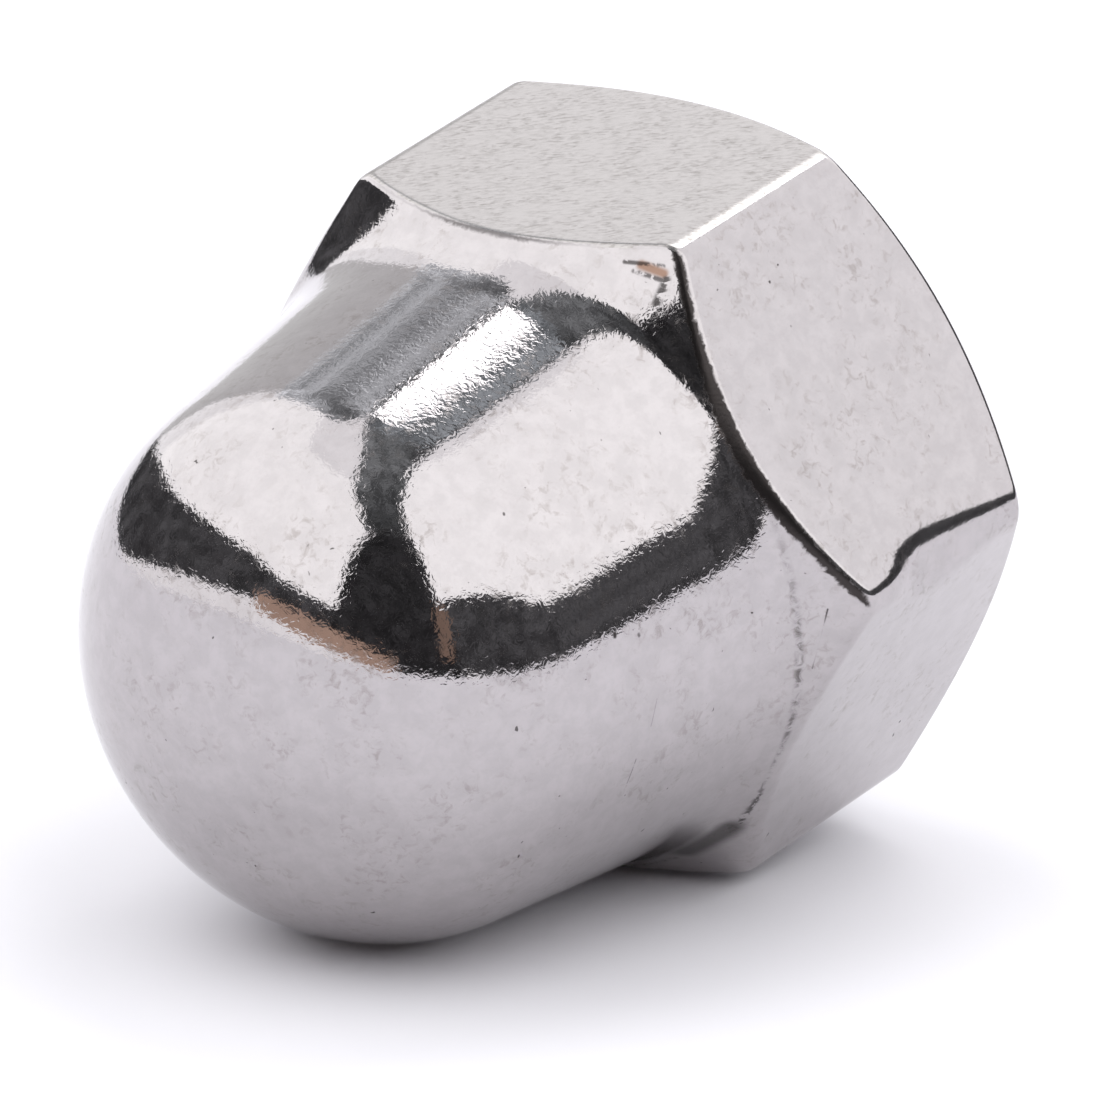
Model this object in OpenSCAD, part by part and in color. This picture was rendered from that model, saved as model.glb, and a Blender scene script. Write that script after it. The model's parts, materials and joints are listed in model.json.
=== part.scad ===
// Hexagon cap nut (acorn nut): one forged and polished piece with a blind
// threaded hole. It is drawn lying as it comes to rest, with one flat down,
// tipped forward until the dome touches the floor too. The dome points to -Y,
// and the origin is on the floor, under the middle of the nut.

/* [Hexagon] */
// Width across the flats
across_flats = 10; // [8.4:0.1:14]
// Height of the hexagon at the middle of a flat, from the bearing face
hex_height = 4.9; // [3:0.1:6.4]
// Radius that rounds the six upright corners
corner_radius = 0.46; // [0.1:0.02:1]
// Chamfer at the open end, as an angle from the bearing face
back_chamfer = 35; // [15:1:45]
// Width of that chamfer at the middle of a flat
back_land = 0.25; // [0.1:0.05:0.8]
// Chamfer at the dome end, as an angle from the bearing face
front_chamfer = 45; // [25:1:50]
// How far the crease at the foot of the dome lies inside the flats
crease_land = 0.06; // [0.04:0.02:0.5]

/* [Dome] */
// Height of the whole nut, from the bearing face to the tip
total_height = 12; // [10:0.1:20]
// How far the foot of the dome flares out to the crease
flare_width = 0.17; // [0.06:0.01:0.5]
// Height of the flared foot
flare_height = 1.1; // [0.5:0.1:1.6]
// Taper of the dome's straight part, per side
dome_taper = 7.7; // [3:0.1:10]
// How much smaller the shoulder's radius is than the neck's
shoulder_step = 1.2; // [0.6:0.1:2.2]
// How much larger the crown's radius is than the neck's
crown_step = 1.7; // [0.6:0.1:4]

/* [Threaded hole] */
// Radius of the hole's wall, which is the thread's minor radius
bore_radius = 2.5; // [1.5:0.05:3.1]
// Metal left between the drill's point and the tip of the dome
crown_wall = 2.5; // [1:0.1:5]
// Width of the countersink round the mouth
mouth_land = 0.6; // [0.2:0.05:0.8]
// Countersink, as an angle from the bearing face
mouth_angle = 45; // [20:5:60]
// Point angle left by the drill
drill_angle = 118; // [90:1:140]

/* [Hidden] */
$fn = 96;
// Overshoot of the cuts, and of the blank outside the finished corners
eps = 0.5;
// Overlap that lets an arc run cleanly into the line or arc it touches
seam = 0.002;
// How far the hexagon and the dome reach into each other at the crease
lap = 0.25;

apothem = across_flats / 2;
face_radius = apothem - back_land;
corner_at = (apothem - corner_radius) / cos(30);
blank_radius = corner_at + corner_radius + eps;

// Crease, where the front chamfer's cone meets the foot of the dome
crease_r = apothem - crease_land;
crease_z = hex_height + crease_land * tan(front_chamfer);
// Heights at which the two chamfers reach the blank's outer wall
back_z = (blank_radius - face_radius) * tan(back_chamfer);
front_z = crease_z - (blank_radius - crease_r) * tan(front_chamfer);

// Neck, where the flared foot ends and the straight taper starts
taper_slope = tan(dome_taper);
neck_r = crease_r - flare_width - flare_height * taper_slope;
neck_z = crease_z + flare_height;
// The flare is an arc through the crease that leaves the neck tangentially.
flare_chord = norm([crease_r - neck_r, flare_height]);
flare_radius = pow(flare_chord, 2) / (2 * flare_width * cos(dome_taper));

// The shoulder touches the straight taper and the crown from inside. Its
// centre lies on a line beside the taper, and crown_radius - shoulder_radius
// from the crown's centre, which gives a quadratic for its height.
shoulder_radius = neck_r - shoulder_step;
crown_radius = neck_r + crown_step;
crown_z = total_height - crown_radius;
line_r = neck_r + neck_z * taper_slope - shoulder_radius / cos(dome_taper);
half_b = line_r * taper_slope + crown_z;
quad_a = 1 + pow(taper_slope, 2);
quad_c = pow(line_r, 2) + pow(crown_z, 2) - pow(crown_radius - shoulder_radius, 2);
shoulder_z = (half_b + sqrt(pow(half_b, 2) - quad_a * quad_c)) / quad_a;
shoulder_x = line_r - shoulder_z * taper_slope;
// Angle from the axis at which the crown hands over to the shoulder
crown_half = atan2(shoulder_x, shoulder_z - crown_z);

// Threaded hole
mouth_depth = mouth_land * tan(mouth_angle);
drill_tip = bore_radius / tan(drill_angle / 2);
bore_depth = total_height - crown_wall - drill_tip;

// Rest: the floor touches the front edge of the lower flat and the shoulder.
reach_r = apothem - shoulder_x;
reach_z = shoulder_z - hex_height;
rest_tilt = acos(shoulder_radius / norm([reach_r, reach_z])) - atan2(reach_z, reach_r);
rest_height = apothem * cos(rest_tilt) + hex_height * sin(rest_tilt);
front_reach = crown_z * cos(rest_tilt) + crown_radius;
back_reach = face_radius * sin(rest_tilt);

// Point at distance r from c, at angle a from the nut's axis
function around(c, r, a) = [c[0] + r * sin(a), c[1] + r * cos(a)];

// Part of a disc between two angles from the nut's axis
module sector(c, r, a0, a1) {
    intersection() {
        translate(c) circle(r = r);
        polygon([c, around(c, 2 * r, a0), around(c, 2 * r, (a0 + a1) / 2), around(c, 2 * r, a1)]);
    }
}

// Hexagon with rounded corners, with one pair of flats facing along Y
module rounded_hexagon() {
    for (i = [0:2]) rotate(60 * i) square([corner_at, across_flats], center = true);
    for (i = [0:5]) rotate(60 * i) translate([corner_at, 0]) circle(r = corner_radius + seam);
}

// Half outline of the hexagon's turned blank, with a chamfer at each end.
// Its top reaches into the dome, so that the two cross cleanly at the crease.
module hexagon_outline() {
    polygon([
        [0, 0], [face_radius, 0], [blank_radius, back_z], [blank_radius, front_z],
        [crease_r - lap, crease_z + lap * tan(front_chamfer)],
        [0, crease_z + lap * tan(front_chamfer)]
    ]);
}

// Half outline of the flared foot, which starts inside the hexagon
module flare_outline() {
    centre = around([neck_r, neck_z], flare_radius, 90 - dome_taper);
    difference() {
        translate([0, crease_z - lap]) square([centre[0], flare_height + lap]);
        translate(centre) circle(r = flare_radius + seam);
    }
}

// Half outline of the dome: a straight taper, a round shoulder and a crown
module dome_outline() {
    shoulder = [shoulder_x, shoulder_z];
    polygon([
        [0, crease_z], [crease_r - flare_width, crease_z],
        around(shoulder, shoulder_radius, 90 - dome_taper), shoulder, [0, shoulder_z]
    ]);
    sector(shoulder, shoulder_radius + seam, crown_half - 10, 100 - dome_taper);
    sector([0, crown_z], crown_radius, 0, crown_half);
}

// Countersunk mouth, round wall and drill point of the hole
module hole() {
    rotate_extrude() polygon([
        [0, -eps], [bore_radius + mouth_land + eps / tan(mouth_angle), -eps],
        [bore_radius, mouth_depth], [bore_radius, bore_depth], [0, bore_depth + drill_tip]
    ]);
}

// The nut in its own axes: bearing face at z = 0, tip of the dome up
module upright_nut() {
    difference() {
        intersection() {
            rotate_extrude() union() {
                hexagon_outline();
                flare_outline();
                dome_outline();
            }
            translate([0, 0, -eps]) linear_extrude(total_height + 2 * eps) rounded_hexagon();
        }
        hole();
    }
}

module cap_nut() {
    color("#c9c6c9")
        translate([0, (front_reach - back_reach) / 2, rest_height])
            rotate([90 + rest_tilt, 0, 0])
                upright_nut();
}

cap_nut();
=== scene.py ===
"""A bright plated M6 cap nut, lying on a pale floor: detailed body, finishes, studio and camera.

The body is modelled in the nut's own upright millimetres (the bearing face at z = 0, the dome
towards +z, the top flat towards +y) and then laid in the shared frame where the record's mounts say.
"""

import json
import logging
import math
from collections.abc import Callable
from dataclasses import dataclass, field
from enum import Enum
from functools import partial, reduce

import bmesh
import bpy
from mathutils import Matrix, Vector, noise


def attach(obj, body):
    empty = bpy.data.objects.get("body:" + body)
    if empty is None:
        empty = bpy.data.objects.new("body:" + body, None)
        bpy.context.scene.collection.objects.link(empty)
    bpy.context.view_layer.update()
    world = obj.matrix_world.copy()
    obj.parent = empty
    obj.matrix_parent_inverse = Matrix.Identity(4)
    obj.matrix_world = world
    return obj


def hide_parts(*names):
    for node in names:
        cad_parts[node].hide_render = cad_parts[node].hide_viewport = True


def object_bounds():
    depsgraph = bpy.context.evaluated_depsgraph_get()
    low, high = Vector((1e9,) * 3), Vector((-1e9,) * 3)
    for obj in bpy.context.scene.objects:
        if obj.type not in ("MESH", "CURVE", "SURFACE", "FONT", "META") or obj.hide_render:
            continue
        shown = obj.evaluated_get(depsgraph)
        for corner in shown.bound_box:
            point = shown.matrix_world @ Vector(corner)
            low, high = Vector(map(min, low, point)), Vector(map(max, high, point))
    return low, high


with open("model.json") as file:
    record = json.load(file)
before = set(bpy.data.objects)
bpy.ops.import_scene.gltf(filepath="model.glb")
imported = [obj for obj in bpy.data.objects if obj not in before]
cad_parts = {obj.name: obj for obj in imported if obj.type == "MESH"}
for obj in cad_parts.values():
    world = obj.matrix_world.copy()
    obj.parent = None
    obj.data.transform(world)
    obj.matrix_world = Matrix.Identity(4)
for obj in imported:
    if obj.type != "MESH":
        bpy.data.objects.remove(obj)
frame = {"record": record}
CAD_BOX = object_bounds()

MM = 0.001
NODE = "cap_nut"
BODY = "root"
OWN_PLACE = "own_place"
GLOW = "glow"
MOST_BOUNCES = 5
DIFFUSE_BOUNCES = 2
GLOSSY_BOUNCES = 4

Point = tuple[float, float]
Span = tuple[float, float]
Place = tuple[float, float, float]
Colour = tuple[float, float, float]
Socket = bpy.types.NodeSocket
Value = Socket | float
log = logging.getLogger("cap_nut")


class Zone(Enum):
    """The zones of the nut that take a finish of their own."""

    DOME = 0
    SATIN_FLAT = 1
    BRIGHT_FLAT = 2
    SEAT = 3
    THREAD = 4


def steps(start: float, stop: float, count: int) -> list[float]:
    """Evenly spaced values.

    Args:
        start: the value before the first one given.
        stop: the last value given.
        count: how many values.

    Returns:
        The values after start, up to and including stop.
    """
    return [start + (stop - start) * (i + 1) / count for i in range(count)]


def soft_min(a: float, b: float, blend: float) -> float:
    """The lesser of two lengths, rounded where they are within blend of each other."""
    return min(a, b) - max(blend - abs(a - b), 0.0) ** 2 / (4.0 * blend)


def soft_max(a: float, b: float, blend: float) -> float:
    """The greater of two lengths, rounded where they are within blend of each other."""
    return -soft_min(-a, -b, blend)


def placed(name: str, data: bpy.types.ID) -> bpy.types.Object:
    """Makes an object and puts it in the scene.

    Args:
        name: its name.
        data: its mesh or camera.

    Returns:
        The object.
    """
    made = bpy.data.objects.new(name, data)
    bpy.context.scene.collection.objects.link(made)
    return made


# ---- where the nut lies


@dataclass(frozen=True)
class Seat:
    """The nut's own upright axes, as they lie in the shared frame."""

    matrix: Matrix

    @classmethod
    def from_record(cls, record: dict) -> "Seat":
        """Finds the axes from the record's mounts.

        Args:
            record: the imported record.

        Returns:
            The seat whose +z runs from the bearing face to the dome.
        """
        mounts = {mount["name"]: mount for mount in record["mounts"]}
        hole, face = mounts["thread"], mounts["bearing_face"]
        outward = Vector(hole["axis"]).normalized()
        on_axis, on_face = Vector(hole["pos_m"]), Vector(face["pos_m"])
        origin = on_axis + outward * (on_face - on_axis).dot(outward)
        along = -outward
        across = Vector((1.0, 0.0, 0.0))
        up = along.cross(across)
        columns = Matrix((across, up, along)).transposed().to_4x4()
        return cls(Matrix.Translation(origin) @ columns)


# ---- the parts of the body


@dataclass(frozen=True)
class HexBody:
    """The hexagon: six flats, with a chamfer at the back and one at the front, in millimetres."""

    across_flats: float = 10.0
    height: float = 4.9
    corner_radius: float = 0.46
    seat_land: float = 0.25
    seat_roll: float = 0.09
    back_chamfer: float = 35.0
    back_roll: float = 0.12
    front_rolls: tuple[float, ...] = (0.10, 0.07, 0.16, 0.12, 0.16, 0.20)
    roll_change: float = 5.0
    worn_corner: float = 0.0
    worn_radius: float = 0.75
    worn_heights: tuple[float, ...] = (0.4, 2.6, 3.05, 3.60)
    half_corner: float = 5.4
    corner_columns: int = 9
    side_columns: int = 22
    seat_count: int = 7
    rim_count: int = 4
    back_band: float = 0.1
    front_band: Span = (0.28, 0.2)
    crease_band: Span = (0.07, 0.09)
    least_bands: tuple[float, ...] = (0.02, 0.03, 0.05)
    side_counts: tuple[int, ...] = (3, 8, 12, 12, 5, 7, 12)

    @property
    def apothem(self) -> float:
        """The distance from the axis to a flat."""
        return self.across_flats / 2.0

    @property
    def seat_radius(self) -> float:
        """The outer radius of the bearing face."""
        return self.apothem - self.seat_land

    def turns(self) -> list[float]:
        """The columns' angles round the axis, in degrees, closer together at the corners."""
        half = [0.0]
        half += steps(0.0, self.half_corner, self.corner_columns)
        half += steps(self.half_corner, 30.0, self.side_columns)
        sector = [-value for value in reversed(half[1:])] + half[:-1]
        return [60.0 * corner + value for corner in range(6) for value in sector]

    def corner(self, turn: float, height: float) -> float:
        """The radius of the nearest corner; one corner is worn rounder part of the way along.

        Args:
            turn: the direction in degrees.
            height: how far above the bearing face.

        Returns:
            The radius in millimetres.
        """
        if abs((turn - self.worn_corner + 180.0) % 360.0 - 180.0) > 30.0:
            return self.corner_radius
        start, full, still, stop = self.worn_heights
        rise = min(max((height - start) / (full - start), 0.0), 1.0)
        fall = min(max((stop - height) / (stop - still), 0.0), 1.0)
        worn = rise * fall * fall * (3.0 - 2.0 * fall)
        return self.corner_radius + self.worn_radius * worn

    def reach(self, turn: float, height: float = 0.0) -> float:
        """The distance from the axis to the outline, in a direction round the axis.

        Args:
            turn: the direction in degrees.
            height: how far above the bearing face.

        Returns:
            The distance in millimetres.
        """
        off = abs((turn + 30.0) % 60.0 - 30.0)
        side = math.radians(30.0)
        corner = self.corner(turn, height)
        centre = (self.apothem - corner) / math.cos(side)
        ends = math.atan2(corner * math.sin(side), centre + corner * math.cos(side))
        angle = math.radians(off)
        if angle < ends:
            drop = centre * math.sin(angle)
            return centre * math.cos(angle) + math.sqrt(corner**2 - drop**2)
        return self.apothem / math.cos(side - angle)

    def front_roll(self, turn: float) -> float:
        """How far the front edge is rolled in a direction; each flat has its own, blended at corners.

        Args:
            turn: the direction in degrees.

        Returns:
            The roll in millimetres.
        """
        flat = int((turn % 360.0) // 60.0)
        past = (turn % 360.0) - 60.0 * flat
        beside = (flat - 1) % 6 if past < 30.0 else (flat + 1) % 6
        share = 0.5 * max(1.0 - min(past, 60.0 - past) / self.roll_change, 0.0)
        return self.front_rolls[flat] * (1.0 - share) + self.front_rolls[beside] * share

    def back_edge(self, reach: float) -> float:
        """The height at which the back chamfer meets the outline."""
        return (reach - self.seat_radius) * math.tan(math.radians(self.back_chamfer))

    def front_edge(self, reach: float) -> float:
        """The height at which the front chamfer meets the outline."""
        return self.height - (reach - self.apothem)

    def seat_rows(self, mouth: float) -> list[Point]:
        """The bearing face and its rolled rim, from the mouth of the hole outwards.

        Args:
            mouth: the radius of the hole's mouth.

        Returns:
            Points (radius, height).
        """
        slope = math.radians(self.back_chamfer)
        rows = [(mouth, 0.0)]
        inner = self.seat_radius - self.seat_roll
        rows += [(radius, 0.0) for radius in steps(mouth, inner, self.seat_count)]
        bend = self.seat_roll / math.tan(slope / 2.0)
        for angle in steps(0.0, slope, self.rim_count):
            rows.append((inner + bend * math.sin(angle), bend * (1.0 - math.cos(angle))))
        return rows

    def side_rows(self, turn: float, neck: "Dome") -> list[Point]:
        """One column's back chamfer, flat, front chamfer and flared neck.

        Args:
            turn: the column's angle in degrees.
            neck: the dome, whose flare meets the front chamfer.

        Returns:
            Points (radius, height), from the seat's rim to the top of the flare.
        """
        reach = self.reach(turn)
        back, front = self.back_edge(reach), self.front_edge(reach)
        start = self.seat_roll * math.sin(math.radians(self.back_chamfer))
        least_back, least_chamfer, least_crease = self.least_bands
        knots = [start, max(back - self.back_band, start + least_back), back + self.back_band]
        knots += [front - self.front_band[0], front + self.front_band[1]]
        knots.append(max(neck.crease_height - self.crease_band[0], knots[-1] + least_chamfer))
        knots.append(max(neck.crease_height + self.crease_band[1], knots[-1] + least_crease))
        knots.append(neck.neck_height)
        rows: list[Point] = []
        for low, high, count in zip(knots, knots[1:], self.side_counts):
            rows += [(self.side(turn, height, neck), height) for height in steps(low, high, count)]
        return rows

    def side(self, turn: float, height: float, neck: "Dome") -> float:
        """The outer radius of one column at a height, with every edge rolled a little.

        Args:
            turn: the column's angle in degrees.
            height: how far above the bearing face.
            neck: the dome, whose flare meets the front chamfer.

        Returns:
            The radius in millimetres.
        """
        reach = self.reach(turn, height)
        if height < self.height / 2.0:
            cone = self.seat_radius + height / math.tan(math.radians(self.back_chamfer))
            return soft_min(reach, cone, self.back_roll)
        cone = self.height + self.apothem - height
        crown = soft_max(cone, neck.flare(height), neck.crease_roll)
        return soft_min(reach, crown, self.front_roll(turn))


@dataclass(frozen=True)
class Dome:
    """The flared neck and the dome: a taper, a shoulder and a flatter crown, in millimetres."""

    total_height: float = 12.0
    crease_radius: float = 4.94
    crease_height: float = 4.96
    crease_roll: float = 0.20
    flare_height: float = 1.1
    flare_width: float = 0.17
    taper: float = 7.7
    shoulder_step: float = 1.2
    crown_step: float = 1.7
    taper_rows: int = 9
    shoulder_rows: int = 18
    crown_rows: int = 20

    @property
    def lean(self) -> float:
        """The dome's taper in radians."""
        return math.radians(self.taper)

    @property
    def neck_height(self) -> float:
        """The height at which the flare ends and the taper starts."""
        return self.crease_height + self.flare_height

    @property
    def neck_radius(self) -> float:
        """The radius at the top of the flare."""
        return self.crease_radius - self.flare_width - self.flare_height * math.tan(self.lean)

    @property
    def shoulder_radius(self) -> float:
        """The radius of the shoulder's curve."""
        return self.neck_radius - self.shoulder_step

    @property
    def crown_radius(self) -> float:
        """The radius of the crown's curve."""
        return self.neck_radius + self.crown_step

    @property
    def crown_centre(self) -> float:
        """The height of the centre of the crown's curve."""
        return self.total_height - self.crown_radius

    @property
    def shoulder_centre(self) -> Point:
        """The centre of the shoulder's curve, which touches both the taper and the crown."""
        gap = self.crown_radius - self.shoulder_radius
        sin, cos = math.sin(self.lean), math.cos(self.lean)
        reach = self.neck_radius * cos + (self.neck_height - self.crown_centre) * sin
        swing = math.acos((reach - self.shoulder_radius) / gap)
        angle = self.lean + swing
        return gap * math.cos(angle), self.crown_centre + gap * math.sin(angle)

    def flare(self, height: float) -> float:
        """The flare's radius; its hollow curve runs smoothly into the taper.

        Args:
            height: how far above the bearing face.

        Returns:
            The radius in millimetres.
        """
        chord = math.hypot(self.crease_radius - self.neck_radius, self.flare_height)
        bend = chord**2 / (2.0 * self.flare_width * math.cos(self.lean))
        centre_r = self.neck_radius + bend * math.cos(self.lean)
        centre_z = self.neck_height + bend * math.sin(self.lean)
        return centre_r - math.sqrt(max(bend**2 - (height - centre_z) ** 2, 0.0))

    def rows(self) -> list[Point]:
        """The dome from the top of the flare almost to its tip, as points (radius, height)."""
        across, level = self.shoulder_centre
        start_r = across + self.shoulder_radius * math.cos(self.lean)
        start_z = level + self.shoulder_radius * math.sin(self.lean)
        join = math.atan2(level - self.crown_centre, across)
        rows: list[Point] = []
        for part in steps(0.0, 1.0, self.taper_rows):
            radius = self.neck_radius + (start_r - self.neck_radius) * part
            rows.append((radius, self.neck_height + (start_z - self.neck_height) * part))
        for angle in steps(self.lean, join, self.shoulder_rows):
            radius = across + self.shoulder_radius * math.cos(angle)
            rows.append((radius, level + self.shoulder_radius * math.sin(angle)))
        for angle in steps(join, math.pi / 2.0, self.crown_rows)[:-1]:
            height = self.crown_centre + self.crown_radius * math.sin(angle)
            rows.append((self.crown_radius * math.cos(angle), height))
        return rows


@dataclass(frozen=True)
class TappedHole:
    """The blind threaded hole, with a real right-hand helix, in millimetres."""

    core_radius: float = 2.5
    depth: float = 7.998
    pitch: float = 1.0
    cut: float = 0.5
    mouth_land: float = 0.6
    full_thread: float = 6.4
    run_out: float = 7.2
    drill_angle: float = 118.0
    crest_half: float = 0.145
    flank: float = 0.289
    rows_per_turn: int = 12
    blind_rows: int = 8

    @property
    def mouth_radius(self) -> float:
        """The radius of the countersunk mouth."""
        return self.core_radius + self.mouth_land

    def groove(self, phase: float) -> float:
        """How deep the thread is cut at a place in one pitch.

        Args:
            phase: the place, from 0 to 1, with the crest round 0.

        Returns:
            The depth, from 0 on the crest to 1 in the root.
        """
        off = abs(phase - round(phase))
        return min(max((off - self.crest_half) / self.flank, 0.0), 1.0)

    def wall(self, phase: float, height: float) -> float:
        """The hole's radius at a height.

        Args:
            phase: the place in one pitch.
            height: how far above the bearing face.

        Returns:
            The radius in millimetres.
        """
        fade = (self.run_out - height) / (self.run_out - self.full_thread)
        radius = self.core_radius + self.cut * self.groove(phase) * min(max(fade, 0.0), 1.0)
        return max(radius, self.mouth_radius - height)

    def strand(self, turn: float) -> list[Point]:
        """One column of the thread's wall; each column climbs by its share of the pitch.

        Args:
            turn: the column's angle in degrees.

        Returns:
            Points (radius, height), held between the mouth and the end of the bore.
        """
        climb = self.pitch * turn / 360.0
        count = (int(self.depth / self.pitch) + 2) * self.rows_per_turn
        points = []
        for row in range(count + 1):
            phase = row / self.rows_per_turn
            height = (phase - 1.0) * self.pitch + climb
            height = min(max(height, 0.0), self.depth)
            points.append((self.wall(phase, height), height))
        return points

    def blind_end(self) -> list[Point]:
        """The drilled cone past the end of the bore, as points (radius, height)."""
        slope = math.tan(math.radians(self.drill_angle / 2.0))
        radii = steps(self.core_radius, 0.0, self.blind_rows)[:-1]
        return [(radius, self.depth + (self.core_radius - radius) / slope) for radius in radii]

    @property
    def blind_tip(self) -> float:
        """The height of the drilled cone's point."""
        return self.depth + self.core_radius / math.tan(math.radians(self.drill_angle / 2.0))


# ---- finishes


@dataclass(frozen=True)
class Grain:
    """Noise: a feature's width in millimetres, how many finer layers it has, their strength, its swirl."""

    size: float
    detail: float = 2.0
    rough: float = 0.5
    warp: float = 0.0


class Bench:
    """A material's node tree, with short calls that add nodes and join them."""

    def __init__(self, name: str) -> None:
        """Starts an empty material.

        Args:
            name: the material's name.
        """
        self.material = bpy.data.materials.new(name)
        self.material.use_nodes = True
        self.tree = self.material.node_tree
        self.tree.nodes.clear()

    def add(self, kind: str, inputs: dict | None = None, **settings) -> bpy.types.Node:
        """Adds one node.

        Args:
            kind: the node's type.
            inputs: its inputs by name or number, each a value or another node's output.
            settings: the node's own settings.

        Returns:
            The node.
        """
        made = self.tree.nodes.new(kind)
        for name, value in settings.items():
            setattr(made, name, value)
        for key, value in (inputs or {}).items():
            self.join(made.inputs[key], value)
        return made

    def join(self, socket: Socket, value: Value | tuple) -> None:
        """Gives a node's input what it reads.

        Args:
            socket: the input.
            value: a value to set, or another node's output to link.
        """
        if isinstance(value, Socket):
            self.tree.links.new(value, socket)
        else:
            socket.default_value = value

    def maths(self, operation: str, *values: Value, clamp: bool = False) -> Socket:
        """A Math node's output.

        Args:
            operation: the sum to do.
            values: its inputs in order.
            clamp: whether the answer is held between 0 and 1.

        Returns:
            The output socket.
        """
        inputs = dict(enumerate(values))
        return self.add("ShaderNodeMath", inputs, operation=operation, use_clamp=clamp).outputs[0]

    def speckle(self, place: Socket, grain: Grain) -> Socket:
        """Noise.

        Args:
            place: where it is read.
            grain: what it is like.

        Returns:
            The noise, from 0 to 1.
        """
        inputs = {"Vector": place, "Scale": 1.0 / grain.size, "Detail": grain.detail}
        inputs |= {"Roughness": grain.rough, "Distortion": grain.warp}
        return self.add("ShaderNodeTexNoise", inputs).outputs["Fac"]

    def product(self, *values: Value) -> Socket:
        """The product of two or more values."""
        return reduce(partial(self.maths, "MULTIPLY"), values)

    def spread(self, value: Value, low: float, high: float) -> Socket:
        """A value from 0 to 1 spread evenly from low to high."""
        limits = {"Value": value, "To Min": low, "To Max": high}
        return self.add("ShaderNodeMapRange", limits).outputs[0]

    def between(self, value: Value, low: float, high: float) -> Socket:
        """0 at low and 1 at high, smoothly, which may run backwards."""
        inputs = {"Value": value, "From Min": low, "From Max": high}
        return self.add("ShaderNodeMapRange", inputs, interpolation_type="SMOOTHSTEP").outputs[0]

    def blend(self, amount: Value, first: Colour | Socket, second: Colour | Socket) -> Socket:
        """Mixes two colours.

        Args:
            amount: how much of the second, from 0 to 1.
            first: one colour.
            second: the other.

        Returns:
            The mixed colour.
        """
        mixed = self.add("ShaderNodeMix", {"Factor": amount}, data_type="RGBA")
        self.join(mixed.inputs["A"], opaque(first))
        self.join(mixed.inputs["B"], opaque(second))
        return mixed.outputs["Result"]

    def relief(self, height: Socket, depth: float, under: Socket | None = None) -> Socket:
        """A bump from a height.

        Args:
            height: the height, from 0 to 1.
            depth: what a height of 1 is in millimetres.
            under: the normal that it goes on, if any.

        Returns:
            The bumped normal.
        """
        inputs = {"Height": height, "Distance": depth * MM, "Strength": 1.0}
        if under is not None:
            inputs["Normal"] = under
        return self.add("ShaderNodeBump", inputs).outputs[0]


class MetalBench(Bench):
    """The node tree of a metal, with a point's place in the nut's own axes, in millimetres, to hand."""

    def __init__(self, name: str) -> None:
        """Starts the material.

        Args:
            name: the material's name.
        """
        super().__init__(name)
        self.place = self.add("ShaderNodeAttribute", attribute_name=OWN_PLACE).outputs["Vector"]
        self.parts = self.add("ShaderNodeSeparateXYZ", {0: self.place}).outputs

    def off_axis(self) -> Socket:
        """The distance from the nut's axis."""
        squares = [self.maths("POWER", self.parts[name], 2.0) for name in "XY"]
        return self.maths("SQRT", self.maths("ADD", *squares))

    def along(self, names: str, turn: float) -> Socket:
        """How far a place lies in a direction that is turned from one axis towards another.

        Args:
            names: the names of the two axes.
            turn: the angle from the first towards the second, in degrees.

        Returns:
            The distance in millimetres.
        """
        first = self.maths("MULTIPLY", self.parts[names[0]], math.cos(math.radians(turn)))
        second = self.maths("MULTIPLY", self.parts[names[1]], math.sin(math.radians(turn)))
        return self.maths("ADD", first, second)

    def finish(self, colour: Socket, roughness: Socket, normal: Socket) -> bpy.types.Material:
        """Ends the material as bare metal.

        Args:
            colour: its colour.
            roughness: its roughness.
            normal: its bumped normal.

        Returns:
            The material.
        """
        look = {"Metallic": 1.0, "Base Color": opaque(colour), "Roughness": roughness, "Normal": normal}
        shader = self.add("ShaderNodeBsdfPrincipled", look)
        self.add("ShaderNodeOutputMaterial", {"Surface": shader.outputs[0]})
        return self.material


def opaque(colour: Colour | Socket) -> tuple[float, ...] | Socket:
    """A colour with its alpha, or a socket as it is."""
    return (*colour, 1.0) if isinstance(colour, tuple) and len(colour) == 3 else colour


@dataclass(frozen=True)
class Mark:
    """A scratch, a dirty smear, or a painted patch of shade or reflection on the metal, between two places
    in the nut's own axes.
    """

    start: Place
    end: Place
    width: float
    strength: float
    broken: float
    core: float = 0.25
    break_span: Span = (-0.08, 0.04)

    def show(self, bench: MetalBench, fleck: Socket) -> Socket:
        """Works out where the mark shows.

        Args:
            bench: the metal being built.
            fleck: noise that breaks the mark up.

        Returns:
            How strongly it shows, from 0 to its own strength.
        """
        span = Vector(self.end) - Vector(self.start)
        ends = {0: bench.place, 1: self.start}
        away = bench.add("ShaderNodeVectorMath", ends, operation="SUBTRACT").outputs[0]
        dot = bench.add("ShaderNodeVectorMath", {0: away, 1: tuple(span)}, operation="DOT_PRODUCT")
        part = bench.maths("DIVIDE", dot.outputs["Value"], span.length_squared, clamp=True)
        foot = bench.add("ShaderNodeVectorMath", {0: tuple(span), "Scale": part}, operation="SCALE")
        gap = bench.add("ShaderNodeVectorMath", {0: away, 1: foot.outputs[0]}, operation="DISTANCE")
        near = bench.between(gap.outputs["Value"], self.width, self.width * self.core)
        kept = bench.between(fleck, *(self.broken + off for off in self.break_span))
        return bench.product(near, kept, self.strength)


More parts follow.
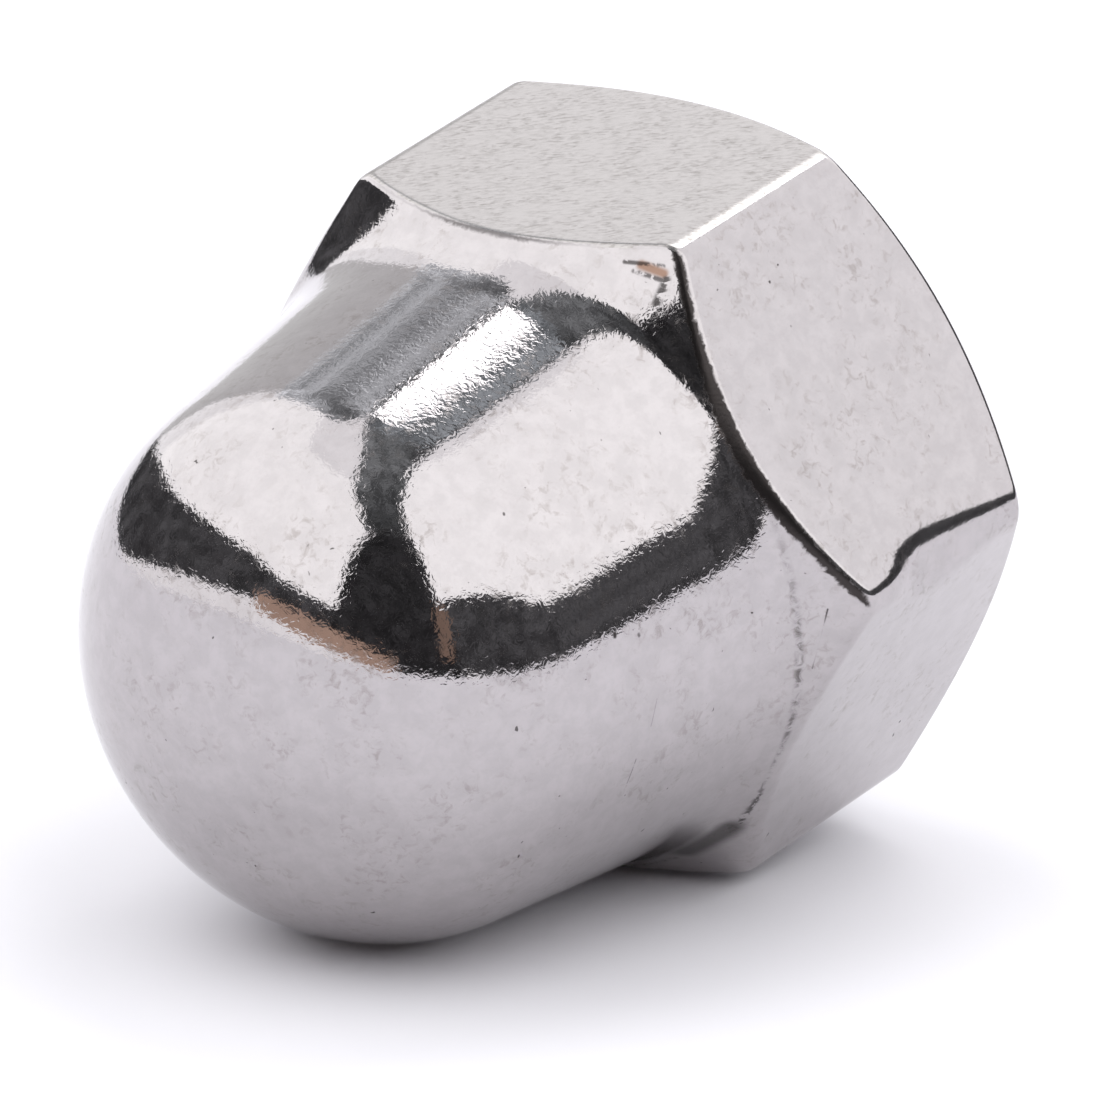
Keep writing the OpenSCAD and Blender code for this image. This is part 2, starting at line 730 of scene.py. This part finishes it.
@dataclass(frozen=True)
class DarkEdge:
    """A painted dark reflection: a dark line on the front arc of one flat, by the millimetres that it
    reaches to each side.
    """

    turn: float
    inside: float
    outside: float
    strength: float = 0.95
    ragged: float = 0.12
    blur: float = 0.02

    def show(self, bench: MetalBench, fleck: Socket) -> Socket:
        """Works out where the line shows.

        Args:
            bench: the metal being built.
            fleck: noise that makes the line ragged.

        Returns:
            How dark it is, from 0 to its own strength.
        """
        body = HexBody()
        short = bench.maths("SUBTRACT", body.apothem + body.height, bench.off_axis())
        short = bench.maths("SUBTRACT", short, bench.parts["Z"])
        ragged = bench.maths("MULTIPLY", bench.maths("SUBTRACT", fleck, 0.5), self.ragged)
        short = bench.maths("ADD", short, ragged)
        line = bench.between(short, self.inside + self.blur, self.inside - self.blur)
        out = bench.along("XY", self.turn)
        depth = bench.maths("SUBTRACT", body.apothem - self.outside, bench.maths("ADD", out, ragged))
        return bench.product(line, bench.between(depth, self.blur, -self.blur), self.strength)


# Painted reflection: dark lines on the front arcs of the flats at 30 and 90 degrees stand for dark
# reflections along these edges.
DARK_EDGES = (DarkEdge(30.0, 0.05, 0.10), DarkEdge(90.0, 0.0, 0.035, 0.7, 0.06))


@dataclass(frozen=True)
class Crease:
    """Dirt and painted shade in the crease between the front chamfer and the neck, stronger low on the
    side towards the floor.
    """

    height: float = Dome.crease_height
    width: float = 0.08
    patches: Span = (0.38, 0.62)
    low_side: Span = (2.5, -1.0)
    strength: float = 0.6

    def show(self, bench: MetalBench, fleck: Socket) -> Socket:
        """Works out where the crease is darkened, by dirty patches and painted shade.

        Args:
            bench: the metal being built.
            fleck: noise that breaks the darkening up.

        Returns:
            How dark the metal is in the crease, from 0 to its own strength.
        """
        off = bench.maths("ABSOLUTE", bench.maths("SUBTRACT", bench.parts["Z"], self.height))
        near = bench.between(off, self.width, 0.0)
        # Painted shade: the crease is darkened more on the side towards the floor.
        low = bench.between(bench.parts["Y"], *self.low_side)
        return bench.product(near, bench.between(fleck, *self.patches), low, self.strength)


@dataclass(frozen=True)
class Plating:
    """Bright plating: its tint, its fine orange peel, pits, stains and marks, with painted dark
    reflections on the front arcs and painted shade and reflections among the marks.
    """

    name: str
    tint: Colour = (0.435, 0.411, 0.419)
    light_tint: Colour = (0.480, 0.454, 0.463)
    stain: Colour = (0.300, 0.272, 0.265)
    # Dark for pits and dirty smears, and for painted shade and painted dark reflections.
    grime_and_painted_dark: Colour = (0.030, 0.025, 0.024)
    # Painted reflection: the warm colour of a reflection painted on the neck.
    painted_reflection_tint: Colour = (0.250, 0.155, 0.115)
    gloss: float = 0.05
    haze: float = 0.25
    peel: Grain = Grain(0.10, 2.0, 0.55, 0.8)
    peel_depth: float = 0.0024
    ripple: Grain = Grain(0.50, 0.0)
    ripple_depth: float = 0.0020
    fleck: Grain = Grain(0.15, 3.0, 0.65, 0.6)
    pits: Grain = Grain(0.12, 1.0, 0.4, 0.3)
    pit_span: Span = (0.78, 0.84)
    pit_strength: float = 0.8
    cloud: Grain = Grain(0.9, 3.0, 0.6)
    cloud_span: Span = (0.36, 0.66)
    speck_span: Span = (0.47, 0.70)
    stain_strength: float = 0.7
    stain_haze: float = 0.5
    bloom: Grain = Grain(0.32, 4.0, 0.62, 0.3)
    bloom_fleck: float = 0.5
    bloom_span: Span = (0.55, 0.95)
    creases: tuple[Crease, ...] = ()
    dark_edges: tuple[DarkEdge, ...] = DARK_EDGES
    marks: tuple[Mark, ...] = ()
    painted_reflections: tuple[Mark, ...] = ()

    def dress(self) -> bpy.types.Material:
        """Builds the material."""
        bench = MetalBench(self.name)
        fleck = bench.speckle(bench.place, self.fleck)
        dark = self.dirt_and_painted_dark(bench, fleck)
        cloud = bench.between(bench.speckle(bench.place, self.cloud), *self.cloud_span)
        stained = bench.product(cloud, bench.between(fleck, *self.speck_span))
        colour = self.mottled(bench, fleck, stained)
        # Painted reflection: warm patches that stand for a reflection on the neck.
        for mark in self.painted_reflections:
            colour = bench.blend(mark.show(bench, fleck), colour, self.painted_reflection_tint)
        # Painted shade and painted dark reflections darken the colour here, with the real pits and dirty
        # smears.
        colour = bench.blend(dark, colour, self.grime_and_painted_dark)
        rough = bench.maths("ADD", bench.maths("MULTIPLY", stained, self.stain_haze), dark, clamp=True)
        roughness = bench.spread(rough, self.gloss, self.haze + self.gloss)
        normal = bench.relief(bench.speckle(bench.place, self.ripple), self.ripple_depth)
        normal = bench.relief(bench.speckle(bench.place, self.peel), self.peel_depth, normal)
        return bench.finish(colour, roughness, normal)

    def dirt_and_painted_dark(self, bench: MetalBench, fleck: Socket) -> Socket:
        """Gathers the pits, the dirty creases with their painted shade, the painted dark reflections on
        the front arcs, and the marks, some of which are painted shade and reflections.

        Args:
            bench: the metal being built.
            fleck: fine noise.

        Returns:
            How dark the metal is, from 0 to 1.
        """
        pits = bench.between(bench.speckle(bench.place, self.pits), *self.pit_span)
        dark = bench.maths("MULTIPLY", pits, self.pit_strength)
        # Painted shade and painted dark reflections join the real pits and dirty smears here.
        for one in self.creases + self.dark_edges + self.marks:
            dark = bench.maths("MAXIMUM", dark, one.show(bench, fleck))
        return dark

    def mottled(self, bench: MetalBench, fleck: Socket, stained: Socket) -> Socket:
        """The plating's colour, slightly uneven and stained.

        Args:
            bench: the metal being built.
            fleck: fine noise.
            stained: how stained the plating is, from 0 to 1.

        Returns:
            The colour.
        """
        bloom = bench.speckle(bench.place, self.bloom)
        bloom = bench.maths("ADD", bloom, bench.maths("MULTIPLY", fleck, self.bloom_fleck))
        base = bench.blend(bench.between(bloom, *self.bloom_span), self.tint, self.light_tint)
        return bench.blend(bench.maths("MULTIPLY", stained, self.stain_strength), base, self.stain)


DOME_MARKS_SHADE_AND_REFLECTIONS = (
    # Scratches and dirty specks, with painted shade and painted reflection among them.
    Mark((5.28, 0.05, 4.62), (5.03, -0.85, 4.80), 0.022, 0.85, 0.40),
    Mark((4.77, -1.34, 4.94), (4.61, -1.80, 4.95), 0.060, 0.75, 0.46),
    Mark((3.90, -3.07, 4.94), (3.46, -3.63, 4.92), 0.085, 0.80, 0.47),
    # Painted shade: a wide dark smear low in the crevice on the side towards the floor.
    Mark((3.30, -3.72, 4.97), (2.50, -4.25, 5.02), 0.35, 0.80, 0.30),
    Mark((4.25, -1.06, 7.86), (4.13, -1.41, 7.97), 0.018, 0.50, 0.42),
    Mark((4.42, -0.25, 7.47), (4.37, -0.63, 7.60), 0.014, 0.30, 0.42),
    Mark((3.11, 2.91, 8.72), (3.12, 2.90, 8.73), 0.030, 0.80, 0.30),
    Mark((4.26, 0.94, 8.01), (4.25, 0.97, 8.00), 0.050, 0.90, 0.30),
    Mark((4.34, 0.78, 7.60), (4.33, 0.80, 7.60), 0.040, 0.60, 0.30),
    # Painted reflection: these three draw the dark rim round the warm reflection near the top flat's
    # corner.
    Mark((2.24, 4.81, 4.59), (2.78, 4.78, 4.40), 0.050, 0.80, 0.47),
    Mark((2.40, 4.70, 4.60), (2.84, 4.60, 4.50), 0.055, 0.75, 0.47),
    Mark((2.86, 4.60, 4.46), (2.84, 4.34, 4.70), 0.100, 0.80, 0.48),
)
# Painted reflection: the warm patch of a reflection on the neck by the top flat.
NECK_PAINTED_REFLECTION = (Mark((2.48, 4.78, 4.52), (2.80, 4.68, 4.44), 0.11, 0.95, 0.30),)


@dataclass(frozen=True)
class SatinFlat:
    """A flat with a fine, dull grain of short marks, all drawn the same way."""

    name: str = "satin_flat"
    tint: Colour = (0.452, 0.431, 0.425)
    shade: Colour = (0.280, 0.263, 0.252)
    gloss: float = 0.15
    haze: float = 0.14
    grain: Grain = Grain(0.055, 4.0, 0.6, 0.5)
    grain_depth: float = 0.0022
    grain_length: float = 2.6
    grain_turn: float = 39.0
    grain_span: Span = (0.40, 0.70)
    cloud: Grain = Grain(0.45, 3.0, 0.6)
    cloud_span: Span = (0.25, 0.65)

    def dress(self) -> bpy.types.Material:
        """Builds the material."""
        bench = MetalBench(self.name)
        along = bench.maths("DIVIDE", bench.along("XZ", -self.grain_turn), self.grain_length)
        drawn = {"X": along, "Y": bench.along("ZX", self.grain_turn), "Z": bench.parts["Y"]}
        grain = bench.speckle(bench.add("ShaderNodeCombineXYZ", drawn).outputs[0], self.grain)
        cloud = bench.between(bench.speckle(bench.place, self.cloud), *self.cloud_span)
        amount = bench.product(bench.between(grain, *self.grain_span), cloud)
        colour = bench.blend(amount, self.tint, self.shade)
        roughness = bench.spread(grain, self.gloss, self.gloss + self.haze)
        return bench.finish(colour, roughness, bench.relief(grain, self.grain_depth))


@dataclass(frozen=True)
class TurnedSeat:
    """The bearing face and back chamfer, with the fine rings that a lathe leaves."""

    name: str = "turned_seat"
    tint: Colour = (0.455, 0.432, 0.440)
    shade: Colour = (0.35, 0.33, 0.335)
    gloss: float = 0.16
    haze: float = 0.2
    rings: Grain = Grain(0.07, 3.0, 0.6)
    ring_depth: float = 0.0012
    fleck: Grain = Grain(0.14, 3.0, 0.6, 0.4)
    fleck_depth: float = 0.0008
    fleck_span: Span = (0.42, 0.75)
    fleck_strength: float = 0.8

    def dress(self) -> bpy.types.Material:
        """Builds the material."""
        bench = MetalBench(self.name)
        section = {"X": bench.off_axis(), "Y": bench.parts["Z"]}
        rings = bench.speckle(bench.add("ShaderNodeCombineXYZ", section).outputs[0], self.rings)
        fleck = bench.speckle(bench.place, self.fleck)
        normal = bench.relief(rings, self.ring_depth)
        normal = bench.relief(fleck, self.fleck_depth, normal)
        amount = bench.maths("MULTIPLY", bench.between(fleck, *self.fleck_span), self.fleck_strength)
        colour = bench.blend(amount, self.tint, self.shade)
        return bench.finish(colour, bench.spread(fleck, self.gloss, self.gloss + self.haze), normal)


@dataclass(frozen=True)
class CutThread:
    """The tapped wall: duller, with tearing along the cut, and darker towards the roots of the thread."""

    name: str = "cut_thread"
    tint: Colour = (0.42, 0.40, 0.40)
    root_and_tear_dark: Colour = (0.13, 0.11, 0.10)
    gloss: float = 0.22
    haze: float = 0.2
    tear: Grain = Grain(0.22, 4.0, 0.6, 0.3)
    tear_stretch: Place = (1.0, 1.0, 5.0)
    tear_depth: float = 0.003
    root_span: Span = (0.25, 0.5)
    root_and_tear_strength: float = 0.45

    def dress(self) -> bpy.types.Material:
        """Builds the material."""
        bench = MetalBench(self.name)
        stretch = {0: bench.place, 1: self.tear_stretch}
        drawn = bench.add("ShaderNodeVectorMath", stretch, operation="MULTIPLY").outputs[0]
        tear = bench.speckle(drawn, self.tear)
        # Darker towards the roots of the thread, and unevenly with the tearing.
        depths = (TappedHole.core_radius + depth for depth in self.root_span)
        root = bench.between(bench.off_axis(), *depths)
        amount = bench.maths("MULTIPLY", bench.maths("ADD", root, tear), self.root_and_tear_strength, clamp=True)
        colour = bench.blend(amount, self.tint, self.root_and_tear_dark)
        roughness = bench.spread(tear, self.gloss, self.gloss + self.haze)
        return bench.finish(colour, roughness, bench.relief(tear, self.tear_depth))


# ---- the whole nut


ZoneFinder = Callable[[float, float], Zone]


@dataclass
class Skin:
    """Points, faces and zones that grow into one closed skin, in the nut's own millimetres."""

    turns: list[float]
    wave_size: float = 1.6
    wave_depth: float = 0.004
    points: list[Vector] = field(default_factory=list)
    faces: list[tuple[int, ...]] = field(default_factory=list)
    zones: list[int] = field(default_factory=list)

    def lathe(self, columns: list[list[Point]], zone_of: ZoneFinder, shift: int = 0) -> list[int]:
        """Skins columns of section points into a ring of faces.

        Args:
            columns: each column's points (radius, height).
            zone_of: gives a face's zone from the angle and the height of its middle.
            shift: how many rows the last column is joined to the first one higher.

        Returns:
            The numbers of the last row's points.
        """
        start, rows, count = len(self.points), len(columns[0]), len(columns)
        for turn, column in zip(self.turns, columns):
            cos, sin = math.cos(math.radians(turn)), math.sin(math.radians(turn))
            self.points.extend(self.waved(Vector((r * cos, r * sin, z))) for r, z in column)
        # The columns start half a sector before 0, so the helix joins up where the angle passes 0.
        first = next(i for i, turn in enumerate(self.turns) if turn >= 0.0)
        for left in range(count):
            right = (left + 1) % count
            lift = shift if right == first else 0
            middle = self.turns[left] + ((self.turns[right] - self.turns[left]) % 360.0) / 2.0
            for row in range(rows - 1 - lift):
                a, b = start + left * rows + row, start + right * rows + row + lift
                self.faces.append((a, b, b + 1, a + 1))
                level = (columns[left][row][1] + columns[left][row + 1][1]) / 2.0
                self.zones.append(zone_of(middle, level).value)
        return [start + column * rows + rows - 1 for column in range(count)]

    def close(self, ring: list[int], height: float, zone: Zone) -> None:
        """Closes a ring of points to a tip on the axis.

        Args:
            ring: the ring's points.
            height: the height of the tip.
            zone: the new faces' zone.
        """
        self.points.append(self.waved(Vector((0.0, 0.0, height))))
        peak = len(self.points) - 1
        for left, right in zip(ring, ring[1:] + ring[:1]):
            self.faces.append((left, right, peak))
            self.zones.append(zone.value)

    def waved(self, point: Vector) -> Vector:
        """A point moved by a faint, slow unevenness, as a cold-formed and polished blank has."""
        return point + noise.noise_vector(point / self.wave_size) * self.wave_depth


@dataclass
class CapNut:
    """The one-piece nut: its hexagon, dome and tapped hole, in one closed skin."""

    body: HexBody = field(default_factory=HexBody)
    dome: Dome = field(default_factory=Dome)
    hole: TappedHole = field(default_factory=TappedHole)
    satin_flats: tuple[int, ...] = (90, 210)
    merge_gap: float = 0.0004
    sharp_angle: float = 34.0

    def build(self, seat: Seat) -> bpy.types.Object:
        """Builds the nut and lays it in the shared frame.

        Args:
            seat: where the nut's own axes lie.

        Returns:
            The finished object.
        """
        mesh = bpy.data.meshes.new("cap_nut_skin")
        skin = self.skin()
        mesh.from_pydata([point * MM for point in skin.points], [], skin.faces)
        mesh.polygons.foreach_set("material_index", skin.zones)
        self.clean(mesh)
        kept = mesh.attributes.new(OWN_PLACE, "FLOAT_VECTOR", "POINT")
        kept.data.foreach_set("vector", [value / MM for vertex in mesh.vertices for value in vertex.co])
        mesh.transform(seat.matrix)
        for finish in self.finishes():
            mesh.materials.append(finish.dress())
        piece = placed("cap_nut_body", mesh)
        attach(piece, BODY)
        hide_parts(NODE)
        return piece

    def finishes(self) -> list:
        """The finishes, in the order of the zones."""
        return [
            Plating("bright_dome", creases=(Crease(),), marks=DOME_MARKS_SHADE_AND_REFLECTIONS, painted_reflections=NECK_PAINTED_REFLECTION),
            SatinFlat(),
            Plating("bright_flat", peel_depth=0.0012, gloss=0.10),
            TurnedSeat(),
            CutThread(),
        ]

    def skin(self) -> Skin:
        """The nut's outside, threaded wall and drilled end, in one skin."""
        turns = self.body.turns()
        skin = Skin(turns)
        seat, dome = self.body.seat_rows(self.hole.mouth_radius), self.dome.rows()
        outer = [seat + self.body.side_rows(turn, self.dome) + dome for turn in turns]
        skin.close(skin.lathe(outer, self.outer_zone), self.dome.total_height, Zone.DOME)
        inner = [self.hole.strand(turn % 360.0) for turn in turns]
        skin.lathe(inner, self.thread_zone, self.hole.rows_per_turn)
        end = [[(self.hole.core_radius, self.hole.depth)] + self.hole.blind_end()] * len(turns)
        skin.close(skin.lathe(end, self.thread_zone), self.hole.blind_tip, Zone.THREAD)
        return skin

    def outer_zone(self, turn: float, level: float) -> Zone:
        """The zone of one face of the outside.

        Args:
            turn: the angle of its middle.
            level: the height of its middle.

        Returns:
            The zone.
        """
        reach = self.body.reach(turn)
        if level < self.body.back_edge(reach):
            return Zone.SEAT
        if level > self.body.front_edge(reach):
            return Zone.DOME
        flat = int(round((turn - 30.0) / 60.0) * 60 + 30) % 360
        return Zone.SATIN_FLAT if flat in self.satin_flats else Zone.BRIGHT_FLAT

    def thread_zone(self, _turn: float, _level: float) -> Zone:
        """The zone of one face of the hole, which is the thread's everywhere."""
        return Zone.THREAD

    def clean(self, mesh: bpy.types.Mesh) -> None:
        """Joins points that meet, drops empty faces, turns every face outwards and smooths.

        Args:
            mesh: the nut's mesh.
        """
        work = bmesh.new()
        work.from_mesh(mesh)
        bmesh.ops.remove_doubles(work, verts=work.verts, dist=self.merge_gap * MM)
        bmesh.ops.dissolve_degenerate(work, edges=work.edges, dist=self.merge_gap * MM)
        bmesh.ops.recalc_face_normals(work, faces=work.faces)
        loose = [edge for edge in work.edges if not edge.is_manifold]
        log.info("%d faces, %d open edges", len(work.faces), len(loose))
        for face in work.faces:
            face.smooth = True
        work.to_mesh(mesh)
        work.free()
        mesh.set_sharp_from_angle(angle=math.radians(self.sharp_angle))


# ---- studio and camera


def towards(azimuth: float, height: float) -> Vector:
    """The direction at an azimuth, with 0 towards -y and 90 towards +x, and a height, in degrees."""
    a, e = math.radians(azimuth), math.radians(height)
    return Vector((math.sin(a) * math.cos(e), -math.cos(a) * math.cos(e), math.sin(e)))


def along_edge(edge: tuple[Point, ...], part: float) -> Vector:
    """A direction part of the way along an edge of a card.

    Args:
        edge: the edge's corners as (azimuth, height).
        part: how far along it, from 0 to 1.

    Returns:
        The direction.
    """
    place = part * (len(edge) - 1)
    first = min(int(place), len(edge) - 2)
    return towards(*edge[first]).lerp(towards(*edge[first + 1]), place - first).normalized()


@dataclass(frozen=True)
class Card:
    """A curved studio card for the metal to mirror, from its lower to its upper edge."""

    name: str
    lower: tuple[Point, ...]
    upper: tuple[Point, ...]
    glow: float | tuple[Span, ...]
    colour: Colour = (1.0, 1.0, 1.0)
    distance: float = 3.4
    mottle: float = 0.0
    patch_share: float = 0.07
    patch_span: Span = (0.35, 0.70)
    patch_floor: float = 0.4
    columns: int = 24
    rows: int = 4

    def hang(self, middle: Vector) -> bpy.types.Object:
        """Hangs the card.

        Args:
            middle: the point that the directions are from.

        Returns:
            The card, which the camera does not see.
        """
        points, faces, glows = [], [], []
        for column in range(self.columns + 1):
            low = along_edge(self.lower, column / self.columns)
            high = along_edge(self.upper, column / self.columns)
            for row in range(self.rows + 1):
                way = low.lerp(high, row / self.rows).normalized()
                points.append(middle + way * self.distance)
                glows.append(self.glow_at(column / self.columns, row / self.rows))
        span = self.rows + 1
        for column in range(self.columns):
            for row in range(self.rows):
                corner = column * span + row
                faces.append((corner, corner + 1, corner + span + 1, corner + span))
        mesh = bpy.data.meshes.new(self.name)
        mesh.from_pydata(points, [], faces)
        mesh.attributes.new(GLOW, "FLOAT", "POINT").data.foreach_set("value", glows)
        mesh.materials.append(self.light())
        card = placed(self.name, mesh)
        card.visible_camera = False
        card.visible_shadow = False
        return card

    def light(self) -> bpy.types.Material:
        """The card's own light; a mottled card is dim, so only the metal and the floor look for it."""
        bench = Bench(self.name)
        strength = self.glow
        if isinstance(self.glow, tuple):
            strength = bench.add("ShaderNodeAttribute", attribute_name=GLOW).outputs["Fac"]
        if self.mottle:
            place = bench.add("ShaderNodeNewGeometry").outputs["Position"]
            patches = bench.speckle(place, Grain(self.distance * self.patch_share, 3.0, 0.6))
            patches = bench.maths("MULTIPLY", bench.between(patches, *self.patch_span), self.mottle)
            uneven = bench.maths("ADD", patches, 1.0 - self.mottle * self.patch_floor)
            strength = bench.maths("MULTIPLY", strength, uneven)
            bench.material.cycles.emission_sampling = "NONE"
        light = bench.add("ShaderNodeEmission", {"Color": opaque(self.colour), "Strength": strength})
        bench.add("ShaderNodeOutputMaterial", {"Surface": light.outputs[0]})
        return bench.material

    def glow_at(self, along: float, up: float) -> float:
        """How brightly the card shines at a place.

        Args:
            along: how far along it, from 0 to 1.
            up: how far from its lower to its upper edge, from 0 to 1.

        Returns:
            The strength.
        """
        if not isinstance(self.glow, tuple):
            return self.glow
        place = along * (len(self.glow) - 1)
        first = min(int(place), len(self.glow) - 2)
        (low, high), (next_low, next_high) = self.glow[first : first + 2]
        part = place - first
        low, high = low + (next_low - low) * part, high + (next_high - high) * part
        return low + (high - low) * up


SHADE = (0.95, 0.95, 1.0)
COOL = (0.92, 0.96, 1.0)
SKIN_WARMTH = (1.0, 0.69, 0.54)
CARDS = (
    Card("left_panel", ((-106, 8), (-96, 14), (-80, 20), (-55, 24), (-30, 24), (-8, 20), (14, 14)),
         ((-114, 40), (-118, 58), (-70, 66), (-30, 72), (0, 74), (16, 66), (24, 54)), 1.76),
    Card("right_panel", ((56, 24), (95, 24), (98, 16), (124, 13)),
         ((50, 62), (80, 78), (120, 78), (150, 66)), 1.78),
    Card("back_panel", ((148, 22), (180, 20), (-152, 22)), ((150, 47), (180, 50), (-152, 52)), 1.70),
    Card("side_grey", ((-150, -4), (-140, -8), (-134, -8), (-127, -8), (-118, -8)),
         ((-150, 6), (-138, 8), (-130, 24), (-127, 46), (-117, 54)), 0.80, (1.0, 0.995, 1.0), 3.35),
    Card("side_blue", ((-129, 42), (-123, 33), (-115, 38)), ((-130, 67), (-124, 68), (-112, 66)),
         ((0.90, 0.34), (0.75, 0.18), (1.35, 0.42)), COOL, 3.32, mottle=1.0),
    Card("side_silver", ((-138, 50), (-134, 50), (-128, 42)), ((-138, 65), (-134, 67), (-129, 67)),
         ((1.15, 0.75), (1.15, 0.70), (0.90, 0.50)), COOL, 3.34, mottle=1.2),
    Card("low_left", ((-128, -8), (-112, -4), (-85, 0), (-60, 5), (-30, 8), (-12, 11), (4, 8), (14, 5)),
         ((-128, -4), (-114, 5), (-98, 15), (-78, 21), (-52, 26), (-28, 26), (-12, 21), (14, 18)),
         0.095, SHADE, 3.3, mottle=1.2),
    Card("low_right", ((58, 1), (66, 1), (84, 0), (97, -1), (106, -1), (116, -2), (127, -4)),
         ((58, 26), (66, 29), (84, 29), (97, 26), (106, 22), (116, 17.5), (127, 13)),
         ((0.08, 0.10), (0.09, 0.10), (0.10, 0.12)), SHADE, 3.3, mottle=1.2),
    Card("low_back", ((127, -4), (150, -1), (180, 0), (-150, 0), (-128, -6)),
         ((127, 14), (150, 19), (180, 17), (-150, 10), (-128, -4)), 0.08, SHADE, 3.3, mottle=1.2),
    Card("stand", ((6, 3), (36, 0), (66, 0)),
         ((11, 20), (17, 42), (28, 54), (40, 58), (52, 55), (57, 44), (58, 27)),
         0.045, SHADE, 3.25, mottle=1.2),
    Card("top_gap", ((24, 54), (6, 70), (-60, 84), (-128, 74), (-138, 60)),
         ((52, 55), (58, 68), (110, 79), (158, 71), (166, 60)),
         ((0.11, 0.07), (0.20, 0.12), (0.34, 0.22), (0.30, 0.12), (0.28, 0.08)), (0.92, 0.97, 1.0), 3.2,
         mottle=1.2),
    Card("lamp_halo", ((-136, 72), (-150, 76), (180, 77), (162, 72)), ((-142, 56), (-165, 48), (165, 46)),
         0.46, (0.86, 0.94, 1.0), 3.15, mottle=1.3),
    Card("lamp", ((-143, 58), (-165, 50), (166, 46)), ((-138, 66), (-150, 70), (-176, 71), (168, 65)), 3.6,
         distance=3.1),
    Card("warm_low", ((-20, 6), (-4, 4), (18, 1), (36, 0)), ((-20, 13), (-4, 12), (16, 9), (36, 4)), 0.64,
         SKIN_WARMTH, 3.1),
    Card("warm_side", ((56, 7), (62, 6)), ((57, 27), (63, 24)), 0.32, SKIN_WARMTH, 3.1),
)


@dataclass
class Studio:
    """A pale floor, even light all round, and the cards that the polished metal mirrors."""

    floor_size: float = 3.0
    floor_tint: Colour = (0.948, 0.942, 0.985)
    floor_rough: float = 0.9
    light: float = 1.46
    light_tint: Colour = (1.0, 0.995, 1.01)
    cards: tuple[Card, ...] = CARDS

    def build(self, middle: Vector) -> list[bpy.types.Object]:
        """Sets the studio up.

        Args:
            middle: the middle of the nut.

        Returns:
            The floor and the cards.
        """
        self.sky()
        made = [self.floor()] + [card.hang(middle) for card in self.cards]
        return made

    def sky(self) -> None:
        """Gives even light from all round."""
        world = bpy.data.worlds.new("studio_light")
        world.use_nodes = True
        back = world.node_tree.nodes["Background"]
        back.inputs["Color"].default_value = opaque(self.light_tint)
        back.inputs["Strength"].default_value = self.light
        bpy.context.scene.world = world

    def floor(self) -> bpy.types.Object:
        """Lays the floor."""
        half = self.floor_size / 2.0
        corners = [(-half, -half, 0.0), (half, -half, 0.0), (half, half, 0.0), (-half, half, 0.0)]
        mesh = bpy.data.meshes.new("floor")
        mesh.from_pydata(corners, [], [(0, 1, 2, 3)])
        bench = Bench("pale_floor")
        look = {"Base Color": opaque(self.floor_tint), "Roughness": self.floor_rough}
        shader = bench.add("ShaderNodeBsdfPrincipled", look | {"Specular IOR Level": 0.0})
        bench.add("ShaderNodeOutputMaterial", {"Surface": shader.outputs[0]})
        mesh.materials.append(bench.material)
        return placed("floor", mesh)


@dataclass(frozen=True)
class Viewpoint:
    """The camera: its direction from the nut in degrees, and its distances in millimetres."""

    azimuth: float = 38.859
    elevation: float = 17.682
    roll: float = 0.663
    distance: float = 205.138
    aim_right: float = 0.7766
    aim_up: float = -0.2960
    sensor: float = 36.0
    lens: float = 474.70
    clip_m: Span = (0.01, 20.0)

    def place(self, middle: Vector) -> bpy.types.Object:
        """Puts the camera in place.

        Args:
            middle: the middle of the nut's box.

        Returns:
            The camera.
        """
        back = towards(self.azimuth, self.elevation)
        right = Vector((0.0, 0.0, 1.0)).cross(back).normalized()
        up = back.cross(right)
        turn = Matrix.Rotation(math.radians(self.roll), 3, back)
        right, up = turn @ right, turn @ up
        aim = middle + (right * self.aim_right + up * self.aim_up) * MM
        data = bpy.data.cameras.new("camera")
        data.sensor_width, data.lens = self.sensor, self.lens
        data.clip_start, data.clip_end = self.clip_m
        camera = placed("camera", data)
        axes = Matrix((right, up, back)).transposed().to_4x4()
        camera.matrix_world = Matrix.Translation(aim + back * self.distance * MM) @ axes
        bpy.context.scene.camera = camera
        return camera


def set_picture() -> None:
    """Shows colours as they are, so the pale floor stays clean, with as many bounces as metal needs."""
    scene = bpy.context.scene
    scene.cycles.max_bounces = MOST_BOUNCES
    scene.cycles.diffuse_bounces = DIFFUSE_BOUNCES
    scene.cycles.glossy_bounces = GLOSSY_BOUNCES
    scene.view_settings.view_transform = "Standard"
    scene.view_settings.look = "None"


def main() -> None:
    """Builds the nut, the studio and the camera."""
    logging.basicConfig(level=logging.INFO, format="%(name)s: %(message)s")
    low, high = CAD_BOX
    middle = (low + high) / 2.0
    seat = Seat.from_record(frame["record"])
    nut = CapNut().build(seat)
    log.info("built %s with %d points", nut.name, len(nut.data.vertices))
    for thing in Studio().build(middle):
        log.info("staged %s", thing.name)
    Viewpoint().place(middle)
    set_picture()


if __name__ == "__main__":
    main()
